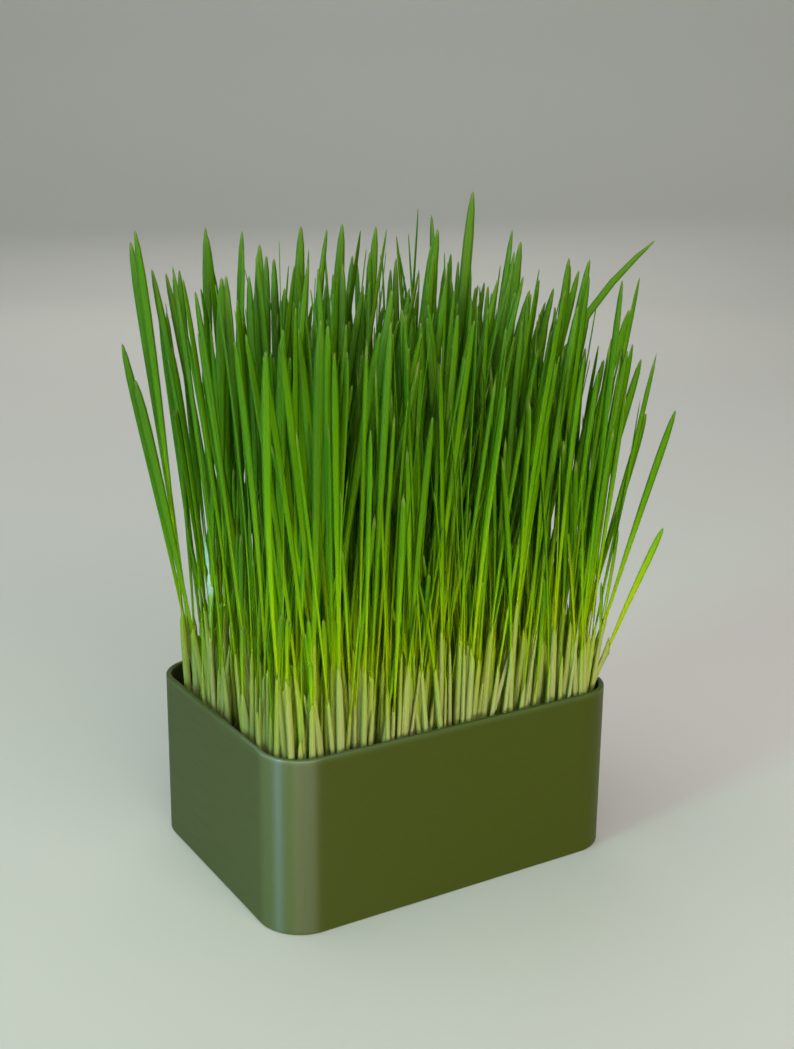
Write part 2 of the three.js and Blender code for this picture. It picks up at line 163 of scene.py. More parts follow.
def new_group(name, inputs, outputs):
    """An empty shader node group with its sockets: inputs as (name, kind, value), outputs as
    (name, kind)."""
    group = bpy.data.node_groups.new(name, "ShaderNodeTree")
    for label, kind, value in inputs:
        group.interface.new_socket(label, in_out="INPUT", socket_type=kind).default_value = value
    for label, kind in outputs:
        group.interface.new_socket(label, in_out="OUTPUT", socket_type=kind)
    return group, group.nodes.new("NodeGroupInput"), group.nodes.new("NodeGroupOutput")


def feed(tree, node, links):
    """Gives a node's inputs their values or links, as (input, value or output) pairs."""
    for socket, source in links:
        if isinstance(source, bpy.types.NodeSocket):
            tree.links.new(source, node.inputs[socket])
        else:
            node.inputs[socket].default_value = source


def add_node(tree, kind, links=(), **values):
    """A node in a tree with its properties set and its inputs fed."""
    node = tree.nodes.new(kind)
    for key, value in values.items():
        setattr(node, key, value)
    feed(tree, node, links)
    return node


def ranged(tree, value, start, end, low=0, high=1):
    """A value stretched so that start becomes low and end becomes high, and held between them."""
    links = [("Value", value), ("From Min", start), ("From Max", end), ("To Min", low), ("To Max", high)]
    return add_node(tree, "ShaderNodeMapRange", links).outputs[0]


def blend(tree, share, one, other, **values):
    """The colour at a share of the way from one to another."""
    mix = add_node(tree, "ShaderNodeMix", [(0, share), (6, one), (7, other)], data_type="RGBA", **values)
    return mix.outputs[2]


def object_place(tree):
    """Where a point lies in Object coordinates, as the outputs X, Y and Z."""
    place = add_node(tree, "ShaderNodeTexCoord")
    return add_node(tree, "ShaderNodeSeparateXYZ", [(0, place.outputs["Object"])]).outputs


def uneven_group():
    """Two colours mottled over a surface, with a bumped normal, by noise on Object coordinates with
    Fineness grains to the metre."""
    sockets = [
        ("Dark", "NodeSocketColor", (0.1, 0.1, 0.1, 1)),
        ("Light", "NodeSocketColor", (0.3, 0.3, 0.3, 1)),
        ("Fineness", "NodeSocketFloat", 300),
        ("Bump", "NodeSocketFloat", 0.2),
        ("Depth", "NodeSocketFloat", 0.0002),
    ]
    gives = [("Color", "NodeSocketColor"), ("Normal", "NodeSocketVector")]
    group, enter, leave = new_group("uneven surface", sockets, gives)
    place = add_node(group, "ShaderNodeTexCoord")
    links = [("Vector", place.outputs["Object"]), ("Scale", enter.outputs["Fineness"]), ("Detail", 3.0)]
    noise = add_node(group, "ShaderNodeTexNoise", links + [("Roughness", 0.6)])
    mask = ranged(group, noise.outputs["Fac"], 0.32, 0.68)
    links = [("Strength", enter.outputs["Bump"]), ("Distance", enter.outputs["Depth"]), ("Height", mask)]
    bump = add_node(group, "ShaderNodeBump", links)
    mottle = blend(group, mask, enter.outputs["Dark"], enter.outputs["Light"])
    feed(group, leave, [("Color", mottle), ("Normal", bump.outputs[0])])
    return group


uneven = uneven_group()


def new_material(name, roughness, specular=0.5):
    """An empty material with a Principled shader."""
    material = bpy.data.materials.new(name)
    material.use_nodes = True
    tree = material.node_tree
    shader = tree.nodes["Principled BSDF"]
    feed(tree, shader, [("Roughness", roughness), ("Specular IOR Level", specular)])
    return material, tree, shader


def add_uneven(tree, dark, light, fineness, bump, depth):
    """The mottled-surface group, placed in a material with its own values."""
    links = [("Dark", dark), ("Light", light), ("Fineness", fineness), ("Bump", bump), ("Depth", depth)]
    return add_node(tree, "ShaderNodeGroup", links, node_tree=uneven)


def mottled(name, roughness, specular, dark, light, fineness, bump, depth):
    """A dull material mottled in two colours."""
    material, tree, shader = new_material(name, roughness, specular)
    surface = add_uneven(tree, dark, light, fineness, bump, depth)
    feed(tree, shader, [("Base Color", surface.outputs["Color"]), ("Normal", surface.outputs["Normal"])])
    return material


def satin_plastic():
    """Plastic in fine level layers: an even green with a fine grain, faint streaks along the layers
    as noise on Object coordinates times LAYER_STREAKS, a gloss that spreads up and down, and a
    painted highlight on the rim: its colour turns paler there, as where the rim catches the light."""
    material, tree, shader = new_material("satin sage plastic", roughness=0.42, specular=0.13)
    level = add_node(tree, "ShaderNodeTangent", direction_type="RADIAL", axis="Z")
    grain = add_uneven(tree, TRAY_GREEN, TRAY_GREEN_LIGHT, fineness=2600, bump=0.16, depth=0.00006)
    place = add_node(tree, "ShaderNodeTexCoord")
    links = [(0, place.outputs["Object"]), (1, LAYER_STREAKS)]
    layered = add_node(tree, "ShaderNodeVectorMath", links, operation="MULTIPLY")
    links = [("Vector", layered.outputs[0]), ("Scale", 1.0), ("Detail", 2.0)]
    streaks = add_node(tree, "ShaderNodeTexNoise", links).outputs["Fac"]
    links = [("Strength", 0.12), ("Distance", 0.00004), ("Height", streaks)]
    layers = add_node(tree, "ShaderNodeBump", links + [("Normal", grain.outputs["Normal"])])
    # Painted highlight: the colour turns paler over the rim's top, as if the rim caught the light.
    rim = ranged(tree, object_place(tree)["Z"], *(tray_top - np.array(RIM_HIGHLIGHT_BAND)))
    colour = blend(tree, rim, grain.outputs["Color"], TRAY_RIM_HIGHLIGHT)
    satin = ranged(tree, streaks, 0.3, 0.7, 0.37, 0.47)
    feed(tree, shader, [("Base Color", colour), ("Roughness", satin), ("Normal", layers.outputs[0])])
    feed(tree, shader, [("Anisotropic", 0.85), ("Anisotropic Rotation", 0.25), ("Tangent", level.outputs[0])])
    return material


tray_profile = np.concatenate([
    [[UNDERSIDE_INSET, 0]],
    arc((TRAY_EDGE, TRAY_EDGE), TRAY_EDGE, -90, -180),
    [[0, NEAR_EDGE], [0, OFF_EDGE], [0, HALF_WAY], [0, tray_top - OFF_EDGE], [0, tray_top - NEAR_EDGE]],
    arc((TRAY_EDGE, tray_top - TRAY_EDGE), TRAY_EDGE, 180, 90),
    arc((TRAY_WALL - TRAY_EDGE, tray_top - TRAY_EDGE), TRAY_EDGE, 90, 0),
    [[TRAY_WALL, tray_top - NEAR_EDGE], [TRAY_WALL, HALF_WAY]],
    [[TRAY_WALL, TRAY_FLOOR + TRAY_FILLET + OFF_FILLET]],
    arc((TRAY_WALL + TRAY_FILLET, TRAY_FLOOR + TRAY_FILLET), TRAY_FILLET, 180, 270),
    [[FLOOR_INSET, TRAY_FLOOR]],
])
tray_points, tray_faces = lathe_round(*tray_outline(20, 16), tray_profile)
tray = make_piece("tray_shell", tray_points, tray_faces, [satin_plastic()])
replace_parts(tray, "tray")


# The growing medium. Dark moist peat and coir, poured loose into the tray and levelled below the
# rim. Hardly any of it shows: crumbs lie along the wall and on the mat.
PEAT_DARK = (0.012, 0.008, 0.005, 1)
PEAT_LIGHT = (0.055, 0.034, 0.018, 1)

peat_material = mottled("moist peat", 0.85, 0.25, PEAT_DARK, PEAT_LIGHT, 700, bump=0.9, depth=0.0006)
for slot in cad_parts["soil"].material_slots:
    slot.material = peat_material


# The mat. Spent grains and matted roots hold the shoots together in one turf about 5 mm thick,
# grown flat on the medium. Its top is lumpy with grains, pale root hairs and crumbs.
mat_nodes = sorted(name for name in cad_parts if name.startswith("wheatgrass"))
MAT_TOP = 0.060
MAT_BOTTOM = 0.0553
MAT_INSET = TRAY_WALL + 0.0004
MAT_RINGS = 64
MAT_LUMP = 0.0007
ROOT_TAN = (0.20, 0.15, 0.075, 1)
ROOT_BROWN = (0.035, 0.024, 0.012, 1)


def lumps(x, y, count=48):
    """A lumpy height from -1 to 1: the sum of many cosine waves from 3 to 14 mm long, each in its
    own direction and phase, over the square root of their number."""
    waves = np.random.default_rng(11)
    length = waves.uniform(0.003, 0.014, count)
    turn = waves.uniform(0, 2 * np.pi, count)
    phase = waves.uniform(0, 2 * np.pi, count)
    run = x[..., None] * np.cos(turn) + y[..., None] * np.sin(turn)
    return np.cos(2 * np.pi * run / length + phase).sum(-1) / math.sqrt(count)


def mat_surface():
    """The mat as rings from its underside, up its edge and in to the middle of its lumpy top."""
    outline, normals = tray_outline(16, 44)
    edge = outline - MAT_INSET * normals
    inwards = np.concatenate([[0, 0, 0.004], np.linspace(0.012, 0.97, MAT_RINGS)])
    height = np.concatenate([[MAT_BOTTOM, MAT_TOP - 0.001], np.full(MAT_RINGS + 1, MAT_TOP)])
    plan = edge[None] * (1 - inwards[:, None, None])
    lift = MAT_LUMP * lumps(plan[..., 0], plan[..., 1]) * np.clip(inwards / 0.03, 0, 1)[:, None]
    rings = np.concatenate([plan, (height[:, None] + lift)[..., None]], 2)
    points = np.concatenate([rings.reshape(-1, 3), [[0, 0, MAT_BOTTOM], [0, 0, MAT_TOP]]])
    return points, closed_faces(*rings.shape[:2])


root_material = mottled("matted roots", 0.8, 0.3, ROOT_BROWN, ROOT_TAN, 520, bump=0.8, depth=0.0005)
mat_points, mat_faces = mat_surface()
make_piece("root_mat", mat_points, mat_faces, [root_material])


# The shoots. Each wheat seedling is a pale pointed sheath that a flat green leaf grows out of, with
# often a second, narrower leaf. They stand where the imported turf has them: its solids are read
# ring by ring, and each leaf is drawn as a smooth thin blade through them.
SHEATH_SHARE = 0.17
SHEATH_SHARE_MOST = 0.34
SHEATH_TOP = (0.038, 0.0075)
SHEATH_TOP_RANGE = (0.021, 0.054)
WIDEST_FROM = 0.78
ROUND_FROM = 0.83
LEAF_SLIM = 0.86
LEAF_BASE = 0.32
LEAF_STATIONS = 11
SECOND_STATIONS = 10
LEAF_THICKNESS = 0.00016
FOOT_FOLD = 0.7
UNFOLDED_FROM = 0.45
TORN_COUNT = 9
TORN_HEIGHT = (0.14, 0.175)
BOX_MARGIN = 0.002
dice = np.random.default_rng(7)


def stems_of(node):
    """The shoots in a turf node: their middles from foot to tip, and the across vectors of their
    two upper rings.

    A tip is a vertex with no higher neighbour, and each ring below it is the lower neighbours of
    the one above. The solid's section is a triangle: two edges and a ridge, 0.65 of the depth out.
    """
    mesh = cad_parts[node].data
    flat = np.empty(3 * len(mesh.vertices))
    mesh.vertices.foreach_get("co", flat)
    loose = np.empty(len(mesh.loops), np.int32)
    mesh.loops.foreach_get("vertex_index", loose)
    points, merged = np.unique(np.round(flat.reshape(-1, 3), 6), axis=0, return_inverse=True)
    corners = merged.reshape(-1)[loose].reshape(-1, 3)
    edges = np.unique(np.concatenate([corners[:, [0, 1]], corners[:, [1, 2]], corners[:, [2, 0]]]), axis=0)
    below = {}
    for high, low in edges[points[edges[:, 0], 2] > points[edges[:, 1], 2] + 1e-5]:
        below.setdefault(int(high), set()).add(int(low))
    is_lower = {low for lows in below.values() for low in lows}
    stems = []
    for tip in sorted(set(below) - is_lower):
        if points[tip, 2] < MAT_TOP + 0.02:
            continue
        level, rings = {tip}, []
        for _ in range(4):
            level = {low for high in level for low in below.get(high, ())}
            rings.append(points[sorted(level)])
        middles, across = [points[tip]], []
        for ring in rings[:3]:
            apart = [np.linalg.norm(ring[(k + 1) % 3] - ring[(k + 2) % 3]) for k in range(3)]
            ridge = int(np.argmax(apart))
            one, other = ring[(ridge + 1) % 3], ring[(ridge + 2) % 3]
            between = (one + other) / 2
            outwards = ring[ridge] - between
            half = (other - one) / 2
            if half[0] * outwards[1] - half[1] * outwards[0] < 0:
                half = -half
            middles.append(0.65 * between + 0.35 * ring[ridge])
            across.append(half)
        middles.append(rings[3].mean(0))
        stems.append((middles[::-1], across[:2][::-1]))
    return stems


stem_lists = [stems_of(node) for node in mat_nodes]
stem_cell = np.repeat(np.arange(len(mat_nodes)), [len(stems) for stems in stem_lists])
stem_middles = np.array([middles for stems in stem_lists for middles, _ in stems])
stem_across = np.array([across for stems in stem_lists for _, across in stems])
stem_count = len(stem_middles)
stem_foot = stem_middles[:, 0]
stem_height = stem_middles[:, -1, 2] - stem_foot[:, 2]
stem_knots = (stem_middles[:, :, 2] - stem_foot[:, 2:]) / stem_height[:, None]


def on_path(shares):
    """Points on each shoot's smooth path at (shoot, station) shares of its height: the sum of its
    five middles, each times Lagrange's weight, the product of (s - s_j) / (s_k - s_j)."""
    total = 0
    for k in range(stem_knots.shape[1]):
        weight = np.ones_like(shares)
        for j in range(stem_knots.shape[1]):
            if j != k:
                apart = stem_knots[:, k:k + 1] - stem_knots[:, j:j + 1]
                weight = weight * (shares - stem_knots[:, j:j + 1]) / apart
        total = total + weight[..., None] * stem_middles[:, k, None]
    return total


def unit(vectors):
    """Vectors scaled to length one along their last axis."""
    return vectors / np.maximum(np.linalg.norm(vectors, axis=-1, keepdims=True), 1e-12)


def blade_half_width(up, widest=ROUND_FROM):
    """A blade's half width over its greatest: it widens smoothly from LEAF_BASE, and from
    the widest place up it closes as a quarter ellipse. up runs from 0 at the sheath to 1 at the tip."""
    rise = np.clip(up / widest, 0, 1)
    widened = LEAF_BASE + (1 - LEAF_BASE) * rise * rise * (3 - 2 * rise)
    past = np.clip((up - widest) / (1 - widest), 0, 1)
    return widened * np.sqrt(1 - past * past)


def blades(middles, turn, half, fold):
    """Thin closed blades as arrays (blade, station, six section points): point = middle
    + x * across + y * outwards. The section is a shallow gutter: x runs over half the width and y
    is fold * width * x squared, give or take the thickness."""
    along = unit(np.gradient(middles, axis=1))
    flat = np.stack([np.cos(turn), np.sin(turn), np.zeros_like(turn)], -1)
    across = unit(flat - (flat * along).sum(-1, keepdims=True) * along)
    outwards = np.cross(across, along)
    x = np.array([1, 0.4, -0.4, -1, -0.4, 0.4])
    lift = np.array([0, -1, -1, 0, 1, 1])
    side = half[..., None] * x
    thickness = np.minimum(LEAF_THICKNESS, half[..., None] * 0.6)
    rise = fold[..., None] * half[..., None] * (x * x) + thickness * lift
    rings = middles[:, :, None] + side[..., None] * across[:, :, None]
    return rings + rise[..., None] * outwards[:, :, None]


def folded(up, least, spread):
    """How deeply blades are folded: the least, FOOT_FOLD more at the foot, which is gone from
    UNFOLDED_FROM up, and up to the spread more by chance."""
    return least + FOOT_FOLD * np.clip(1 - up / UNFOLDED_FROM, 0, 1) + dice.uniform(0, spread, (len(up), 1))


def repeat_tubes(rings, tips, feet, tint):
    """Many like closed tubes: rings is (tube, station, around, 3), with a point that closes each tip
    and each foot. Each vertex has u across the tube, v along it, and its tube's tint."""
    count, stations, around = rings.shape[:3]
    pattern = [
        ring_quads(stations, around),
        ring_cap(0, around, stations * around + 1, False),
        ring_cap(stations - 1, around, stations * around, True),
    ]
    u = np.tile(np.abs(np.linspace(1, -1, around, endpoint=False)), stations)
    v = np.repeat(np.linspace(0, 1, stations), around)
    marks = np.stack([np.append(u, [0.5, 0.5]), np.append(v, [1, 0])], 1)
    points = np.concatenate([rings.reshape(count, -1, 3), tips[:, None], feet[:, None]], 1)
    tints = np.broadcast_to(tint[:, None, None], (count, len(marks), 1))
    marks = np.concatenate([np.broadcast_to(marks, (count,) + marks.shape), tints], 2)
    return points, marks, pattern


# First leaves: each starts inside its sheath and ends at the solid's tip, but a few tips are torn off.
sheath_top = np.clip(dice.normal(*SHEATH_TOP, stem_count), *SHEATH_TOP_RANGE)
sheath_share = np.minimum(sheath_top / stem_height, SHEATH_SHARE_MOST)
turn_low = np.arctan2(stem_across[:, 0, 1], stem_across[:, 0, 0])
turn_high = np.arctan2(stem_across[:, 1, 1], stem_across[:, 1, 0])
turn_rate = ((turn_high - turn_low + np.pi / 2) % np.pi - np.pi / 2) / (stem_knots[:, 3] - stem_knots[:, 2])
leaf_width = LEAF_SLIM * np.linalg.norm(stem_across[:, 0], axis=1) / blade_half_width(
    (stem_knots[:, 2] - SHEATH_SHARE) / (1 - SHEATH_SHARE), WIDEST_FROM
)
leaf_rise = 1 - (1 - np.linspace(0, 1, LEAF_STATIONS)) ** 1.45
leaf_foot = sheath_share[:, None] * 0.7
may_tear = np.flatnonzero((stem_height > TORN_HEIGHT[0]) & (stem_height < TORN_HEIGHT[1]))
leaf_torn = np.zeros(stem_count, bool)
leaf_torn[dice.choice(may_tear, TORN_COUNT, False)] = True
leaf_last = np.where(leaf_torn, dice.uniform(0.84, 0.9, stem_count), 0.994)[:, None]
leaf_shares = leaf_foot + (leaf_last - leaf_foot) * leaf_rise[None]
leaf_middles = on_path(leaf_shares)
leaf_turns = turn_low[:, None] + turn_rate[:, None] * (leaf_shares - stem_knots[:, 2:3])
leaf_up = np.clip((leaf_shares - SHEATH_SHARE) / (1 - SHEATH_SHARE), 0, 1)
leaf_fold = folded(leaf_up, 0.04, 0.14)
leaf_rings = blades(leaf_middles, leaf_turns, leaf_width[:, None] * blade_half_width(leaf_up), leaf_fold)
leaf_rings[leaf_torn, -1, :, 2] += dice.uniform(-0.0014, 0.0014, (TORN_COUNT, 6))
leaf_tips = on_path(np.where(leaf_torn[:, None], leaf_last - 0.003, 1.0))[:, 0]
leaf_tint = dice.uniform(0, 1, stem_count)
first_leaves = repeat_tubes(leaf_rings, leaf_tips, leaf_middles[:, 0], leaf_tint)


def free_leaves(start, along, lean, length, width, turn):
    """Leaves off the solids: middle = start + length * (along * s + lean * (0.35 s + 0.65 s
    squared)) with s the share of the length, and the blade's own width profile. A leaf whose tip
    would leave the turf's box is bent back by s squared times what it is out."""
    count = len(start)
    s = (1 - (1 - np.linspace(0, 1, SECOND_STATIONS)) ** 1.4)[None, :, None]
    s = np.repeat(s, count, 0)
    course = along[:, None] * s + lean[:, None] * (0.35 * s + 0.65 * s * s)
    last = start[:, None] + length[:, None, None] * course
    low, high = np.array(cad_low) + BOX_MARGIN, np.array(cad_high) - BOX_MARGIN
    out = last[:, -1] - np.clip(last[:, -1], low, high)
    last = last - out[:, None] * s * s
    middles = last[:, :-1]
    up = s[:, :-1, 0]
    fold = folded(up, 0.08, 0.16)
    turns = turn[:, None] + dice.uniform(-0.6, 0.6, (count, 1)) * up
    rings = blades(middles, turns, width[:, None] * blade_half_width(up), fold)
    return repeat_tubes(rings, last[:, -1], middles[:, 0], dice.uniform(0, 1, count))


# Second leaves: narrower and shorter, leaning away from the first, on rather more than half of the
# shoots that stand upright, but for the sparse end at the left.
SECOND_SHARE = 0.66
UPRIGHT = 0.17
SPARSE_BELOW = -0.054
SECOND_FROM = 0.12
SECOND_LENGTH = (0.35, 0.86)
SECOND_WIDE = (0.0011, 0.0018)
SECOND_LEAN = (0.02, 0.14)
SECOND_INWARDS = np.array([0.035, 0.035, 0])
stem_course = stem_middles[:, -1] - stem_foot
is_upright = np.hypot(*stem_course[:, :2].T) < UPRIGHT * stem_course[:, 2]
is_upright &= stem_foot[:, 0] > SPARSE_BELOW
is_chosen = dice.uniform(0, 1, stem_count) < SECOND_SHARE
second = np.flatnonzero(is_chosen & is_upright & (stem_height > SECOND_FROM))
exits = on_path(np.stack([sheath_share * 0.75, sheath_share * 0.75 + 0.02], 1))[second]
lean_turn = dice.uniform(0, 2 * np.pi, len(second))
second_lean = np.stack([np.cos(lean_turn), np.sin(lean_turn), np.zeros(len(second))], 1)
second_lean = second_lean * dice.uniform(*SECOND_LEAN, (len(second), 1))
second_lean = second_lean - SECOND_INWARDS * exits[:, 0] / 0.075
second_leaves = free_leaves(
    exits[:, 0],
    unit(exits[:, 1] - exits[:, 0]),
    second_lean,
    (stem_height - sheath_top)[second] * dice.uniform(*SECOND_LENGTH, len(second)),
    dice.uniform(*SECOND_WIDE, len(second)),
    leaf_turns[second, 0] + dice.uniform(0.6, 2.5, len(second)),
)

# Sheaths: a pale tube, flattened and a little wider at the foot, cut slanting at the top, where
# one side runs up to a point beside the leaf. A form gives the heights of the rings, the girths
# there and the height of the closing point.
SHEATH_FORM = (
    np.array([-0.06, 0.15, 0.5, 0.8, 0.95, 1.0]),
    np.array([1.04, 1.05, 0.98, 0.84, 0.66, 0.42]),
    np.array([0.93]),
)
SHEATH_SLANT = np.array([0, 0, 0, 0.3, 0.8, 1.0])
SHEATH_AROUND = 7
SHEATH_WIDE = (0.00125, 0.00178)
SHEATH_FLATNESS = (0.58, 0.8)
SHEATH_CUT = (0.001, 0.004)


def sheath_tubes(path, form, wide, flatness, turn, slit, cut, tint):
    """The rings of sheaths as arrays (tube, station, around), and their closed tubes.

    The path gives points at shares of a sheath's height: point = path + girth * wide * (cos a,
    flatness * sin a), turned by the tube's own turn, and raised by cut * slant * cos(a - slit).
    """
    rise, girth, end = form
    deep = wide * flatness
    angle = np.linspace(0, 2 * np.pi, SHEATH_AROUND, endpoint=False)
    side = girth[None, :, None] * np.cos(angle) * wide[:, None, None]
    out = girth[None, :, None] * np.sin(angle) * deep[:, None, None]
    cos_turn, sin_turn = np.cos(turn)[:, None, None], np.sin(turn)[:, None, None]
    slant = cut[:, None, None] * SHEATH_SLANT[None, :, None]
    climb = slant * np.cos(angle[None, None] - slit[:, None, None])
    shape = [side * cos_turn - out * sin_turn, side * sin_turn + out * cos_turn, climb + np.zeros_like(side)]
    rings = path(rise)[:, :, None] + np.stack(shape, -1)
    return rings, repeat_tubes(rings, path(end)[:, 0], path(rise[:1])[:, 0], tint)


def up_grown_sheath(shares):
    """Points on the grown shoots at shares of their sheaths' heights."""
    return on_path(sheath_share[:, None] * shares[None])


sheath_wide = dice.uniform(*SHEATH_WIDE, stem_count)
sheath_rings, stem_sheaths = sheath_tubes(
    up_grown_sheath, SHEATH_FORM, sheath_wide,
    dice.uniform(*SHEATH_FLATNESS, stem_count),
    leaf_turns[:, 0] + dice.uniform(-0.5, 0.5, stem_count),
    dice.uniform(0, 2 * np.pi, stem_count),
    dice.uniform(*SHEATH_CUT, stem_count),
    dice.uniform(0, 1, stem_count),
)


# The young shoots. Between the grown ones stand later seedlings, thinner and shorter, each with one
# narrow leaf, and bare pale stubs whose leaf hasn't broken out yet.
YOUNG_COUNT = 760
STUB_COUNT = 80
YOUNG_SPACING = 0.0017
YOUNG_INSET = 0.0014
YOUNG_CORNER = TRAY_CORNER - 0.003
YOUNG_SLOPE_MOST = 0.13
YOUNG_SLOPE_SPREAD = 0.055
BY_THE_WALL = np.array([0.066, 0.047])
BY_WALL_SLOPE = 0.35
INNER_FROM = 0.02
INNER_SHARE = 0.45
YOUNG_TOP = (0.018, 0.042)
YOUNG_WIDE = (0.00085, 0.0014)
YOUNG_CUT = (0.001, 0.003)
YOUNG_FLATNESS = 0.7
YOUNG_LEAF_FROM = np.array([0.7])
YOUNG_LEAF_LENGTH = (0.028, 0.135)
YOUNG_LEAF_WIDE = (0.0007, 0.0013)
STUB_HEIGHT = (0.010, 0.034)
STUB_WIDE = (0.0008, 0.0013)
STUB_FLATNESS = 0.8
STUB_SLOPE_SPREAD = 0.08
STUB_FORM = (
    np.array([-0.1, 0.15, 0.5, 0.78, 0.92, 0.985]),
    np.array([1.0, 1.05, 1.0, 0.82, 0.55, 0.24]),
    np.array([1.0]),
)
BARE_CORNER = np.array([-0.078, 0.059])
BARE_RADIUS = 0.034


def free_places(count, taken, least):
    """Points on the mat inside the wall, drawn one after another, each a least distance from those
    before it and clear of the bare corner. In the middle only INNER_SHARE of them are kept."""
    half = tray_half - MAT_INSET - YOUNG_INSET
    used = len(taken)
    stands = np.concatenate([taken, np.zeros((count, 2))])
    while used < len(stands):
        place = dice.uniform(-half, half)
        is_inner = np.max(np.abs(place) - half) < -INNER_FROM
        corner = np.maximum(np.abs(place) - (half - YOUNG_CORNER), 0)
        if is_inner and dice.uniform() > INNER_SHARE:
            continue
        if np.hypot(*corner) > YOUNG_CORNER or np.hypot(*(place - BARE_CORNER)) < BARE_RADIUS:
            continue
        if np.min(np.hypot(*(stands[:used] - place).T)) < least:
            continue
        stands[used] = place
        used += 1
    return stands[len(taken):]


def rising(slope):
    """Upward vectors with these slopes in x and y."""
    return np.concatenate([slope, np.ones((len(slope), 1))], 1)


def straight(foot, reach):
    """The path up straight stems: point = foot + reach * share."""
    return lambda shares: foot[:, None] + reach[:, None] * shares[None, :, None]


places = free_places(YOUNG_COUNT + STUB_COUNT, stem_foot[:, :2], YOUNG_SPACING)
extra_foot = np.concatenate([places, np.full((len(places), 1), MAT_TOP)], 1)
nearest = np.argmin(np.hypot(*(places[:, None] - stem_foot[None, :, :2]).transpose(2, 0, 1)), 1)
nearest_course = stem_middles[nearest, 2] - stem_foot[nearest]
extra_slope = nearest_course[:, :2] / nearest_course[:, 2:]
extra_slope = extra_slope + dice.normal(0, YOUNG_SLOPE_SPREAD, (len(places), 2))
is_outwards = (np.abs(places) > BY_THE_WALL) & (extra_slope * places > 0)
extra_slope = np.where(is_outwards, extra_slope * BY_WALL_SLOPE, extra_slope)
extra_slope = extra_slope / np.maximum(np.hypot(*extra_slope.T) / YOUNG_SLOPE_MOST, 1)[:, None]
young = np.arange(YOUNG_COUNT)
stub = np.arange(YOUNG_COUNT, YOUNG_COUNT + STUB_COUNT)

young_top = dice.uniform(*YOUNG_TOP, YOUNG_COUNT)
young_wide = dice.uniform(*YOUNG_WIDE, YOUNG_COUNT)
young_turn = dice.uniform(0, np.pi, YOUNG_COUNT)
young_slope = rising(extra_slope[young])
young_path = straight(extra_foot[young], young_top[:, None] * young_slope)
_, young_sheaths = sheath_tubes(
    young_path, SHEATH_FORM, young_wide, YOUNG_FLATNESS, young_turn,
    dice.uniform(0, 2 * np.pi, YOUNG_COUNT),
    dice.uniform(*YOUNG_CUT, YOUNG_COUNT),
    dice.uniform(0, 1, YOUNG_COUNT),
)
young_lean = dice.normal(0, 0.05, (YOUNG_COUNT, 2)) - 0.03 * places[young] / 0.06
young_leaves = free_leaves(
    young_path(YOUNG_LEAF_FROM)[:, 0],
    unit(young_slope),
    np.concatenate([young_lean, np.zeros((YOUNG_COUNT, 1))], 1),
    dice.uniform(*YOUNG_LEAF_LENGTH, YOUNG_COUNT) * np.where(places[young, 0] < SPARSE_BELOW, 0.6, 1),
    dice.uniform(*YOUNG_LEAF_WIDE, YOUNG_COUNT),
    young_turn,
)
stub_height = dice.uniform(*STUB_HEIGHT, STUB_COUNT)
stub_wide = dice.uniform(*STUB_WIDE, STUB_COUNT)
stub_slope = extra_slope[stub] + dice.normal(0, STUB_SLOPE_SPREAD, (STUB_COUNT, 2))
_, stub_sheaths = sheath_tubes(
    straight(extra_foot[stub], stub_height[:, None] * rising(stub_slope)),
    STUB_FORM, stub_wide, STUB_FLATNESS,
    dice.uniform(0, np.pi, STUB_COUNT),
    dice.uniform(0, 2 * np.pi, STUB_COUNT),
    np.zeros(STUB_COUNT),
    dice.uniform(0, 0.5, STUB_COUNT),
)

# The stubs that stand free at the front and left walls: foot, tip, greatest half width and tint.
SEEN_STUBS = [
    ((0.0155, -0.0525, 0.06), (0.027, -0.0515, 0.0935), 0.00105, -0.6),
    ((0.0587, -0.052, 0.06), (0.0589, -0.0515, 0.089), 0.00075, -0.6),
    ((0.0548, -0.0525, 0.06), (0.0568, -0.0515, 0.0867), 0.0007, 1.6),
    ((-0.0655, -0.048, 0.06), (-0.0605, -0.048, 0.079), 0.0012, -0.2),
    ((-0.057, -0.0495, 0.06), (-0.0628, -0.049, 0.0918), 0.00115, -0.5),
]
seen_foot, seen_tip, seen_wide, seen_tint = (np.array(column) for column in zip(*SEEN_STUBS))
level = np.zeros(len(SEEN_STUBS))
seen_path = straight(seen_foot, seen_tip - seen_foot)
_, seen_stubs = sheath_tubes(
    seen_path, STUB_FORM, seen_wide, YOUNG_FLATNESS, level - 0.5, level, level, seen_tint
)

# Their colours: stops up a leaf and up a sheath, and the painted light on the shaded sheaths inside the turf.
# The low stops are light: partly the leaves' own pale bases, partly painted light for the shaded lower turf.
LEAF_STOPS = [
    (0.00, (0.44, 0.54, 0.006, 1)),
    (0.20, (0.42, 0.59, 0.000, 1)),
    (0.35, (0.26, 0.505, 0.000, 1)),
    (0.50, (0.140, 0.36, 0.000, 1)),
    (0.80, (0.096, 0.272, 0.000, 1)),
    (1.00, (0.125, 0.265, 0.010, 1)),
]
DRY_POINT = (0.36, 0.38, 0.10, 1)
DRY_FROM = 0.96
DRY_SHARE = 0.32
SHEATH_STOPS = [
    (0.00, (0.39, 0.42, 0.155, 1)),
    (0.45, (0.365, 0.425, 0.105, 1)),
    (0.78, (0.34, 0.445, 0.042, 1)),
    (1.00, (0.32, 0.46, 0.004, 1)),
]
# A brighter green for the sheaths in the turf's shade: painted light.
SHEATH_INNER_PAINTED_LIGHT = (0.40, 0.55, 0.012, 1)
OUTER_FROM = (0.063, 0.044)
OUTER_DEPTH = 0.009
LEAF_VEINS = 5
SHEATH_VEINS = 4
LEAF_REACH = 0.19
FOOT_LEVEL = 0.06
BY_HEIGHT = 0.7
BY_LENGTH = 0.225


def maths(tree, operation, *values):
    """The result of one maths step on sockets or numbers."""
    return add_node(tree, "ShaderNodeMath", list(enumerate(values)), operation=operation).outputs[0]


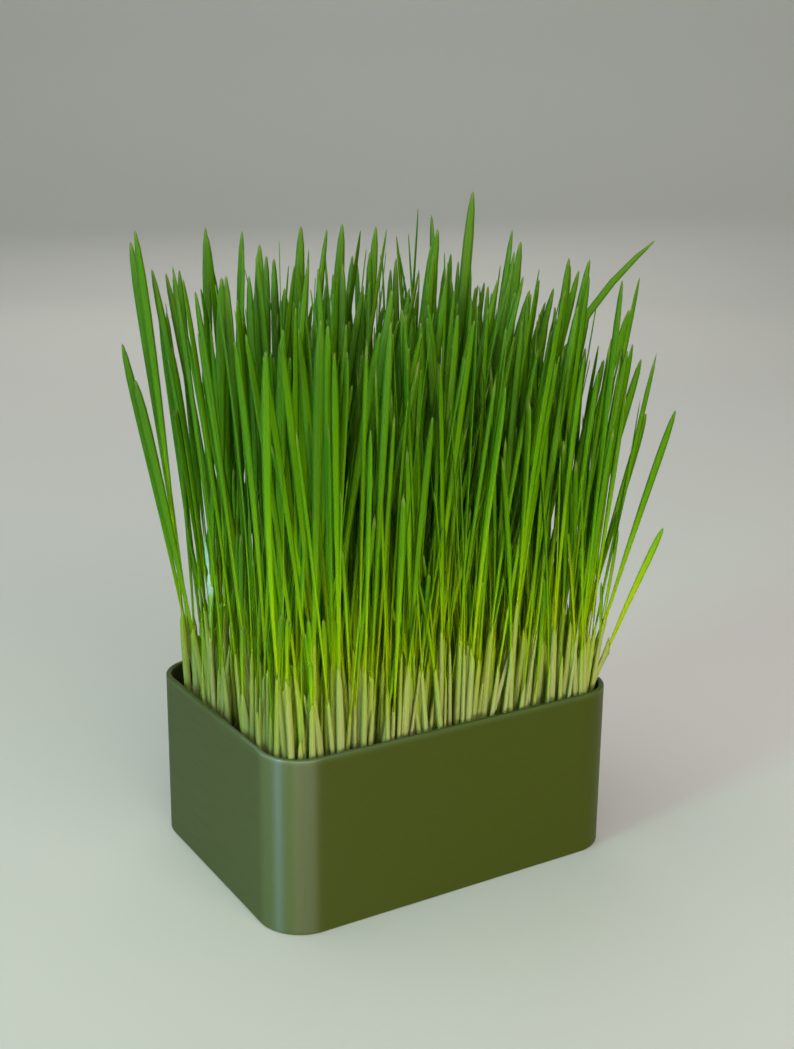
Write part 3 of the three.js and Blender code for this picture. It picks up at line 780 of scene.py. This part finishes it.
def blade_place(tree):
    """Where a point lies on its own blade or tube: X is u across it, Y is v along it."""
    blade = add_node(tree, "ShaderNodeUVMap", uv_map="blade")
    return add_node(tree, "ShaderNodeSeparateXYZ", [(0, blade.outputs[0])]).outputs


def tinted_ramp(tree, level, stops, spread):
    """A colour ramp over a level from 0 to 1, shifted up or down by each shoot's own tint."""
    tint = add_node(tree, "ShaderNodeAttribute", attribute_name="tint")
    shifted = maths(tree, "MULTIPLY_ADD", tint.outputs["Fac"], spread, -spread / 2)
    ramp = add_node(tree, "ShaderNodeValToRGB", [(0, maths(tree, "ADD", level, shifted))])
    elements = ramp.color_ramp.elements
    for index, (position, colour) in enumerate(stops):
        stop = elements[index] if index < 2 else elements.new(position)
        stop.position = position
        stop.color = colour
    return ramp.outputs[0]


def vein_group():
    """Lengthwise veins: cos(2 pi * Veins * u) streaks a colour and raises the surface a little."""
    sockets = [
        ("Color", "NodeSocketColor", (0.2, 0.4, 0.1, 1)),
        ("Across", "NodeSocketFloat", 0),
        ("Veins", "NodeSocketFloat", 5),
        ("Contrast", "NodeSocketFloat", 0.1),
    ]
    gives = [("Color", "NodeSocketColor"), ("Normal", "NodeSocketVector")]
    group, enter, leave = new_group("lengthwise veins", sockets, gives)
    turns = maths(group, "MULTIPLY", enter.outputs["Across"], enter.outputs["Veins"])
    wave = maths(group, "COSINE", maths(group, "MULTIPLY", turns, 2 * math.pi))
    between = maths(group, "SUBTRACT", 1, enter.outputs["Contrast"])
    streak = ranged(group, wave, -1, 1, between, 1)
    bump = add_node(group, "ShaderNodeBump", [("Strength", 0.3), ("Distance", 0.0001), ("Height", wave)])
    streaked = blend(group, 1, enter.outputs["Color"], streak, blend_type="MULTIPLY")
    feed(group, leave, [("Color", streaked), ("Normal", bump.outputs[0])])
    return group


veins = vein_group()


def bring_to_life(tree, shader, colour, across, count, contrast, through):
    """Veins a colour for the shader, and lets a share of the light shine through the surface."""
    links = [("Color", colour), ("Across", across), ("Veins", count), ("Contrast", contrast)]
    streaks = add_node(tree, "ShaderNodeGroup", links, node_tree=veins)
    feed(tree, shader, [("Base Color", streaks.outputs["Color"]), ("Normal", streaks.outputs["Normal"])])
    glow = add_node(tree, "ShaderNodeBsdfTranslucent", [("Color", streaks.outputs["Color"])])
    links = [(0, through), (1, shader.outputs[0]), (2, glow.outputs[0])]
    mix = add_node(tree, "ShaderNodeMixShader", links)
    feed(tree, tree.nodes["Material Output"], [("Surface", mix.outputs[0])])


def living_leaf():
    """A living leaf: yellow-green where it leaves the sheath, deeper green above and paler at the
    tip, with veins and with light shining through. Its level on the ramp is FOOT_LEVEL + BY_HEIGHT
    times the height above the mat over LEAF_REACH + BY_LENGTH times the share v of its own length.
    Low in the turf the colour is lighter: partly the leaves' own pale bases, partly painted light
    in the turf's shade. Its very point, from v = DRY_FROM up, is dry."""
    material, tree, shader = new_material("living leaf", roughness=0.52, specular=0.035)
    height = ranged(tree, object_place(tree)["Z"], MAT_TOP, MAT_TOP + LEAF_REACH)
    blade = blade_place(tree)
    own = maths(tree, "MULTIPLY_ADD", blade["Y"], BY_LENGTH, FOOT_LEVEL)
    level = maths(tree, "MULTIPLY_ADD", height, BY_HEIGHT, own)
    # Partly painted light: the low, shaded turf takes the lighter stops of the ramp.
    green = tinted_ramp(tree, level, LEAF_STOPS, spread=0.22)
    dry = ranged(tree, blade["Y"], DRY_FROM, 1, 0, DRY_SHARE)
    pointed = blend(tree, dry, green, DRY_POINT)
    bring_to_life(tree, shader, pointed, blade["X"], LEAF_VEINS, contrast=0.14, through=0.5)
    return material


def outer_share(tree):
    """How far out a shoot stands, from 0 in the middle of the turf to 1 along the wall: the larger
    of (|x| - OUTER_FROM x) / OUTER_DEPTH and the same in y."""
    place = object_place(tree)
    shares = []
    for axis, start in zip("XY", OUTER_FROM):
        shares.append(ranged(tree, maths(tree, "ABSOLUTE", place[axis]), start, start + OUTER_DEPTH))
    return maths(tree, "MAXIMUM", *shares)


def pale_sheath():
    """A young sheath: cream at the foot and greener towards the leaf, by v along it, finely ribbed,
    soft and moist. Inside the turf, where the sheaths stand in shade, they are painted a brighter,
    greener colour: painted light in place of the light that shines through the leaves."""
    material, tree, shader = new_material("pale sheath", roughness=0.46, specular=0.06)
    blade = blade_place(tree)
    pale = tinted_ramp(tree, blade["Y"], SHEATH_STOPS, spread=0.4)
    # Painted light: the shaded sheaths inside the turf take a brighter green than the lit outer ones.
    stand = blend(tree, outer_share(tree), SHEATH_INNER_PAINTED_LIGHT, pale)
    bring_to_life(tree, shader, stand, blade["X"], SHEATH_VEINS, contrast=0.12, through=0.4)
    return material


leaf_material = living_leaf()
sheath_material = pale_sheath()


def plant(name, groups, materials=(leaf_material, sheath_material)):
    """One piece of many closed tubes: groups gives (tubes, which of them, face material)."""
    points, marks, faces, kinds, start = [], [], [], [], 0
    for (all_points, all_marks, pattern), keep, kind in groups:
        each = all_points.shape[1]
        points.append(all_points[keep].reshape(-1, 3))
        marks.append(all_marks[keep].reshape(-1, 3))
        shift = start + np.arange(len(keep))[:, None, None] * each
        for part in pattern:
            faces.append((part[None] + shift).reshape(-1, part.shape[1]))
            kinds.append(np.full(len(faces[-1]), kind))
        start += len(keep) * each
    piece = make_piece(name, np.concatenate(points), faces, materials, np.concatenate(kinds))
    marks = np.concatenate(marks)
    corner = np.empty(len(piece.data.loops), np.int32)
    piece.data.loops.foreach_get("vertex_index", corner)
    piece.data.uv_layers.new(name="blade").data.foreach_set("uv", marks[corner, :2].ravel())
    piece.data.attributes.new("tint", "FLOAT", "POINT").data.foreach_set("value", marks[:, 2].copy())
    return piece


def plant_all(name, tubes, material):
    """One piece of all the tubes of a kind, in one material."""
    plant(name, [(tubes, np.arange(len(tubes[0])), 0)], [material])


for cell, node in enumerate(mat_nodes):
    own = np.flatnonzero(stem_cell == cell)
    own_second = np.flatnonzero(stem_cell[second] == cell)
    groups = [(first_leaves, own, 0), (second_leaves, own_second, 0), (stem_sheaths, own, 1)]
    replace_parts(plant(node.replace("wheatgrass", "shoots"), groups), node)
young_groups = [(young_leaves, young, 0), (young_sheaths, young, 1), (stub_sheaths, stub - YOUNG_COUNT, 1)]
plant("young_shoots", young_groups + [(seen_stubs, np.arange(len(SEEN_STUBS)), 1)])


# The twisted leaf. One leaf at the left wall turns over on its way up, and shows its underside,
# which is paler with wax and carries a painted bluish sheen of the light from the left.
# Its course gives places, half widths and turns up the leaf.
TWISTED_COURSE = [
    ((-0.0715, 0.0142, 0.059), 0.001, -0.2),
    ((-0.0715, 0.0131, 0.0734), 0.001, -0.3),
    ((-0.0715, 0.0129, 0.0923), 0.0008, -0.4),
    ((-0.0715, 0.0113, 0.1114), 0.0007, -0.5),
    ((-0.0715, 0.0115, 0.1154), 0.00125, -0.5),
    ((-0.0715, 0.0122, 0.119), 0.00115, -0.5),
    ((-0.0715, 0.0131, 0.122), 0.00035, -1.2),
    ((-0.0715, 0.0138, 0.1255), 0.00085, -0.5),
    ((-0.0716, 0.0146, 0.13), 0.0007, -0.6),
    ((-0.0717, 0.0154, 0.1345), 0.0004, -1.3),
    ((-0.0718, 0.0158, 0.1425), 0.00045, -2.0),
]
TWISTED_TIP = (-0.0721, 0.0163, 0.1500)
TWISTED_SINK = np.array([0, 0, 0.0002])
# From the turn up: the underside's own paler wax colour and a painted bluish sheen of light.
WAXY_SHEEN_STOPS = [
    (0.00, (0.38, 0.42, 0.100, 1)),
    (0.20, (0.28, 0.43, 0.020, 1)),
    (0.33, (0.22, 0.42, 0.020, 1)),
    (0.39, (0.30, 0.50, 0.360, 1)),
    (0.80, (0.27, 0.47, 0.300, 1)),
    (0.92, (0.10, 0.29, 0.040, 1)),
]


def waxy_sheen_leaf():
    """A leaf by v along it: green up to its turn, then its waxy underside, paler in its own colour and
    painted with a bluish sheen of light.
    """
    material, tree, shader = new_material("waxy leaf with painted sheen", roughness=0.5, specular=0.25)
    blade = blade_place(tree)
    wax_and_sheen = tinted_ramp(tree, blade["Y"], WAXY_SHEEN_STOPS, spread=0)
    bring_to_life(tree, shader, wax_and_sheen, blade["X"], LEAF_VEINS, contrast=0.12, through=0.25)
    return material


twisted_middles, twisted_half, twisted_turn = (np.array([column]) for column in zip(*TWISTED_COURSE))
twisted_rings = blades(twisted_middles, twisted_turn, twisted_half, np.full(twisted_half.shape, 0.3))
twisted_foot = twisted_middles[:, 0] - TWISTED_SINK
twisted = repeat_tubes(twisted_rings, np.array([TWISTED_TIP]), twisted_foot, np.zeros(1))
plant_all("twisted_leaf", twisted, waxy_sheen_leaf())


# What lies on the mat. Spent grains, half sunk among the roots that hold them, pale root threads
# over the mat, and crumbs of peat that were washed up between the shoots.
GRAIN_COUNT = 230
GRAIN_SIZE = (0.0030, 0.0014, 0.0012)
GRAIN_CREASE = 0.22
GRAIN_LIFT = (-0.0002, 0.0006)
CRUMB_COUNT = 420
CRUMB_SIZE = (0.0011, 0.0009, 0.0007)
CRUMB_LIFT = 0.0003
CRUMB_ROUGH = 0.00018
ROOT_COUNT = 160
ROOT_RADIUS = 0.00013
ROOT_STEP = (0.0006, 0.0013)
ROOT_SINK = 0.0002
ROOT_ARCH = 0.0009
GRAIN_TAN = (0.30, 0.19, 0.08, 1)
GRAIN_BROWN = (0.13, 0.07, 0.025, 1)
THREAD_DARK = (0.45, 0.38, 0.24, 1)
THREAD_LIGHT = (0.60, 0.54, 0.40, 1)


def mat_places(count, inset):
    """Places spread over the mat, at least inset from the wall's inner face."""
    half = tray_half - TRAY_WALL - inset
    places = dice.uniform(-half, half, (4 * count, 2))
    corner = np.maximum(np.abs(places) - (half - TRAY_CORNER + inset), 0)
    return places[np.hypot(*corner.T) < TRAY_CORNER - inset][:count]


def egg_rings(centres, turns, tilts, size, stations, around):
    """Closed eggs as arrays (egg, station, around): point = centre + (long axis * cos b + round
    section * sin b), the section pressed in along one side, for a grain's crease."""
    b = np.linspace(0, np.pi, stations + 2)[1:-1][:, None]
    a = np.linspace(0, 2 * np.pi, around, endpoint=False)[None]
    crease = 1 - GRAIN_CREASE * np.exp(-((a - np.pi / 2) / 0.5) ** 2)
    long = np.broadcast_to(size[0] * np.cos(b), (stations, around))
    side = size[1] * np.sin(b) * np.cos(a) * crease
    high = size[2] * np.sin(b) * np.sin(a) * crease
    local = np.stack([-long, side, high], -1)
    cos_turn, sin_turn = np.cos(turns), np.sin(turns)
    cos_tilt, sin_tilt = np.cos(tilts), np.sin(tilts)
    axis_long = np.stack([cos_turn * cos_tilt, sin_turn * cos_tilt, sin_tilt], 1)
    axis_side = np.stack([-sin_turn, cos_turn, np.zeros_like(turns)], 1)
    axes = np.stack([axis_long, axis_side, np.cross(axis_long, axis_side)], 1)
    return centres[:, None, None] + np.einsum("sak,nkc->nsac", local, axes), axis_long * size[0]


def on_mat(places, lift):
    """Places on the mat's lumpy top, a little above it."""
    height = MAT_TOP + MAT_LUMP * lumps(places[:, 0], places[:, 1]) + lift
    return np.concatenate([places, height[:, None]], 1)


def eggs(rings, ends):
    """Closed eggs as a group of tubes, each with its own tint."""
    middles = rings.mean((1, 2))
    return repeat_tubes(rings, middles + ends, middles - ends, dice.uniform(0, 1, len(rings)))


grain_rings, grain_ends = egg_rings(
    on_mat(mat_places(GRAIN_COUNT, inset=0.0035), dice.uniform(*GRAIN_LIFT, GRAIN_COUNT)),
    dice.uniform(0, 2 * np.pi, GRAIN_COUNT),
    dice.uniform(-0.5, 0.5, GRAIN_COUNT),
    GRAIN_SIZE, stations=5, around=7,
)
grain_material = mottled("spent grain", 0.6, 0.3, GRAIN_BROWN, GRAIN_TAN, 600, bump=0.6, depth=0.0003)
plant_all("spent_grains", eggs(grain_rings, grain_ends), grain_material)

crumb_rings, crumb_ends = egg_rings(
    on_mat(mat_places(CRUMB_COUNT, inset=0.002), np.full(CRUMB_COUNT, CRUMB_LIFT)),
    dice.uniform(0, 2 * np.pi, CRUMB_COUNT),
    dice.uniform(-1, 1, CRUMB_COUNT),
    CRUMB_SIZE, stations=3, around=5,
)
crumb_rings = crumb_rings + dice.normal(0, CRUMB_ROUGH, crumb_rings.shape)
plant_all("peat_crumbs", eggs(crumb_rings, crumb_ends), peat_material)

root_start = mat_places(ROOT_COUNT, inset=0.006)
root_turn = dice.uniform(0, 2 * np.pi, ROOT_COUNT)
root_s = np.linspace(0, 1, 7)[None]
root_bend = root_turn[:, None] + dice.uniform(-1.6, 1.6, (ROOT_COUNT, 1)) * root_s
root_step = dice.uniform(*ROOT_STEP, (ROOT_COUNT, 1))
root_x = root_start[:, :1] + np.cumsum(np.cos(root_bend) * root_step, 1)
root_y = root_start[:, 1:] + np.cumsum(np.sin(root_bend) * root_step, 1)
root_z = MAT_TOP + MAT_LUMP * lumps(root_x, root_y) - ROOT_SINK + ROOT_ARCH * np.sin(np.pi * root_s)
root_middles = np.stack([root_x, root_y, root_z], -1)
root_angle = np.linspace(0, 2 * np.pi, 4, endpoint=False)
root_across = np.stack([-np.sin(root_bend), np.cos(root_bend), np.zeros_like(root_bend)], -1)[:, :, None]
root_rings = root_middles[:, :, None] + ROOT_RADIUS * (
    root_across * np.cos(root_angle)[:, None] + np.array([0, 0, 1]) * np.sin(root_angle)[:, None]
)
roots = repeat_tubes(root_rings, root_middles[:, -1], root_middles[:, 0], dice.uniform(0, 1, ROOT_COUNT))
thread_material = mottled("root thread", 0.55, 0.3, THREAD_DARK, THREAD_LIGHT, 400, bump=0.6, depth=0.0003)
plant_all("root_threads", roots, thread_material)


# The drops. Tiny beads of water that the seedlings press out stand on the points of the sheaths.
DROP_COUNT = 110
DROP_RADIUS = (0.00024, 0.00042)
DROP_LIFT = np.array([0, 0, 0.0001])


def water():
    """Clear water, with a faint greenish cloud in its colour."""
    material, tree, shader = new_material("water drop", roughness=0.03)
    cloud = add_uneven(tree, (0.9, 0.95, 0.9, 1), (1, 1, 1, 1), fineness=900, bump=0.02, depth=0.00002)
    feed(tree, shader, [("Base Color", cloud.outputs["Color"]), ("Transmission Weight", 1), ("IOR", 1.33)])
    return material


drop_stems = dice.choice(stem_count, DROP_COUNT, False)
top_ring = sheath_rings[drop_stems, -1]
highest = top_ring[np.arange(DROP_COUNT), top_ring[:, :, 2].argmax(1)]
drop_centre = highest + DROP_LIFT
drop_upright = np.full(DROP_COUNT, np.pi / 2)
drop_rings, drop_ends = egg_rings(
    drop_centre, np.zeros(DROP_COUNT), drop_upright, (1, 1, 1), stations=4, around=7
)
drop_radius = dice.uniform(*DROP_RADIUS, DROP_COUNT)
drop_rings = (drop_rings - drop_centre[:, None, None]) * drop_radius[:, None, None, None]
drop_rings = drop_rings + drop_centre[:, None, None]
drop_ends = drop_ends * drop_radius[:, None]
drops = repeat_tubes(drop_rings, drop_centre + drop_ends, drop_centre - drop_ends, np.zeros(DROP_COUNT))
plant_all("water_drops", drops, water())


# The floor, the light and the camera. A wide pale floor sweeps up behind in an even pale room. Soft
# lights from the left, the front, above and behind light the shape, and three large ones that show
# only in the gloss draw the bands on the near corner. The camera stands where the picture was taken.
FLOOR_GREY = (0.45, 0.44, 0.425, 1)
ROOM_GREY = (0.80, 0.80, 0.80, 1)
ROOM_STRENGTH = 0.54
SWEEP = [(-3, 0), (1.2, 0), (1.7, 0.05), (2.1, 0.2), (2.4, 0.5), (2.5, 0.9), (2.5, 3.5)]
AZIMUTH, PITCH, ROLL = (math.radians(angle) for angle in (-31.523, 15.089, 0.602))
sweep = np.array(SWEEP)
view_back = np.array([-math.sin(AZIMUTH), math.cos(AZIMUTH)])
view_side = np.array([math.cos(AZIMUTH), math.sin(AZIMUTH)])
ground = sweep[:, None, :1] * view_back + np.array([[-4], [4]]) * view_side
floor_points = np.concatenate([ground, np.broadcast_to(sweep[:, None, 1:], (len(sweep), 2, 1))], 2)
floor_mesh = bpy.data.meshes.new("floor")
floor_faces = [(2 * row, 2 * row + 1, 2 * row + 3, 2 * row + 2) for row in range(len(sweep) - 1)]
floor_mesh.from_pydata(floor_points.reshape(-1, 3).tolist(), [], floor_faces)
floor_mesh.polygons.foreach_set("use_smooth", np.ones(len(floor_mesh.polygons), bool))
floor_material, floor_tree, floor_shader = new_material("pale floor", roughness=0.9, specular=0)
feed(floor_tree, floor_shader, [("Base Color", FLOOR_GREY)])
floor_mesh.materials.append(floor_material)
floor = bpy.data.objects.new("floor", floor_mesh)
bpy.context.scene.collection.objects.link(floor)

world = bpy.data.worlds.new("soft studio")
world.use_nodes = True
room = world.node_tree.nodes["Background"]
feed(world.node_tree, room, [("Color", ROOM_GREY), ("Strength", ROOM_STRENGTH)])
bpy.context.scene.world = world
bpy.context.scene.view_settings.view_transform = "Standard"


def soft_light(name, place, aim, size, energy, colour, lights="all"):
    """A rectangular area light at a place, turned to face a point. It lights everything, or only
    fills without showing in the gloss, or only shows in the gloss."""
    data = bpy.data.lights.new(name, "AREA")
    data.shape = "RECTANGLE"
    data.size, data.size_y = size
    data.energy = energy
    data.color = colour
    light = bpy.data.objects.new(name, data)
    light.location = place
    light.rotation_euler = (Vector(aim) - Vector(place)).to_track_quat("-Z", "Y").to_euler()
    light.visible_camera = False
    light.visible_glossy = lights != "fill"
    light.visible_diffuse = lights != "gloss"
    bpy.context.scene.collection.objects.link(light)


soft_light("window", (-1.50, -0.32, 0.60), (0, 0, 0.10), (0.3, 1.0), 14, (0.34, 1.0, 0.66), "fill")
soft_light("front", (-0.10, -1.55, 0.75), (0, 0, 0.10), (1.5, 1.0), 17, (1.0, 0.95, 0.82), "fill")
soft_light("front low", (-0.09, -1.35, 0.14), (0, 0, 0.05), (1.2, 0.24), 14, (1.0, 0.96, 0.82), "fill")
soft_light("top", (-0.3, 0.2, 1.9), (0, 0, 0.12), (1.4, 1.4), 17, (0.97, 0.99, 1.0))
soft_light("back", (0.70, 1.45, 0.90), (0, 0, 0.10), (1.4, 1.0), 7, (1.0, 0.98, 0.92), "fill")
soft_light("pane", (-1.55, -0.24, 0.62), (0, -0.04, 0.62), (0.34, 1.2), 128, (0.33, 0.53, 1.0), "gloss")
soft_light("side", (-1.30, -0.16, 0.82), (0, -0.16, 0.82), (2.93, 1.6), 285, (0.70, 0.92, 0.96), "gloss")
soft_light("wall", (-0.57, -1.56, 0.82), (-0.06, -0.04, 0.82), (1.67, 1.6), 220, (0.97, 0.95, 1), "gloss")

IMAGE_SIZE = (794, 1049)
FOCAL_PIXELS = 1380.65
EYE = (-0.27684, -0.46062, 0.27993)
level_back = math.cos(PITCH)
backwards = Vector((math.sin(AZIMUTH) * level_back, -math.cos(AZIMUTH) * level_back, math.sin(PITCH)))
level_right = Vector((0, 0, 1)).cross(backwards).normalized()
level_up = backwards.cross(level_right)
right = math.cos(ROLL) * level_right + math.sin(ROLL) * level_up
up = math.cos(ROLL) * level_up - math.sin(ROLL) * level_right
lens = bpy.data.cameras.new("camera")
lens.sensor_width = 36
lens.lens = lens.sensor_width * FOCAL_PIXELS / max(IMAGE_SIZE)
camera = bpy.data.objects.new("camera", lens)
camera.matrix_world = Matrix.Translation(EYE) @ Matrix((right, up, backwards)).transposed().to_4x4()
bpy.context.scene.collection.objects.link(camera)
bpy.context.scene.camera = camera
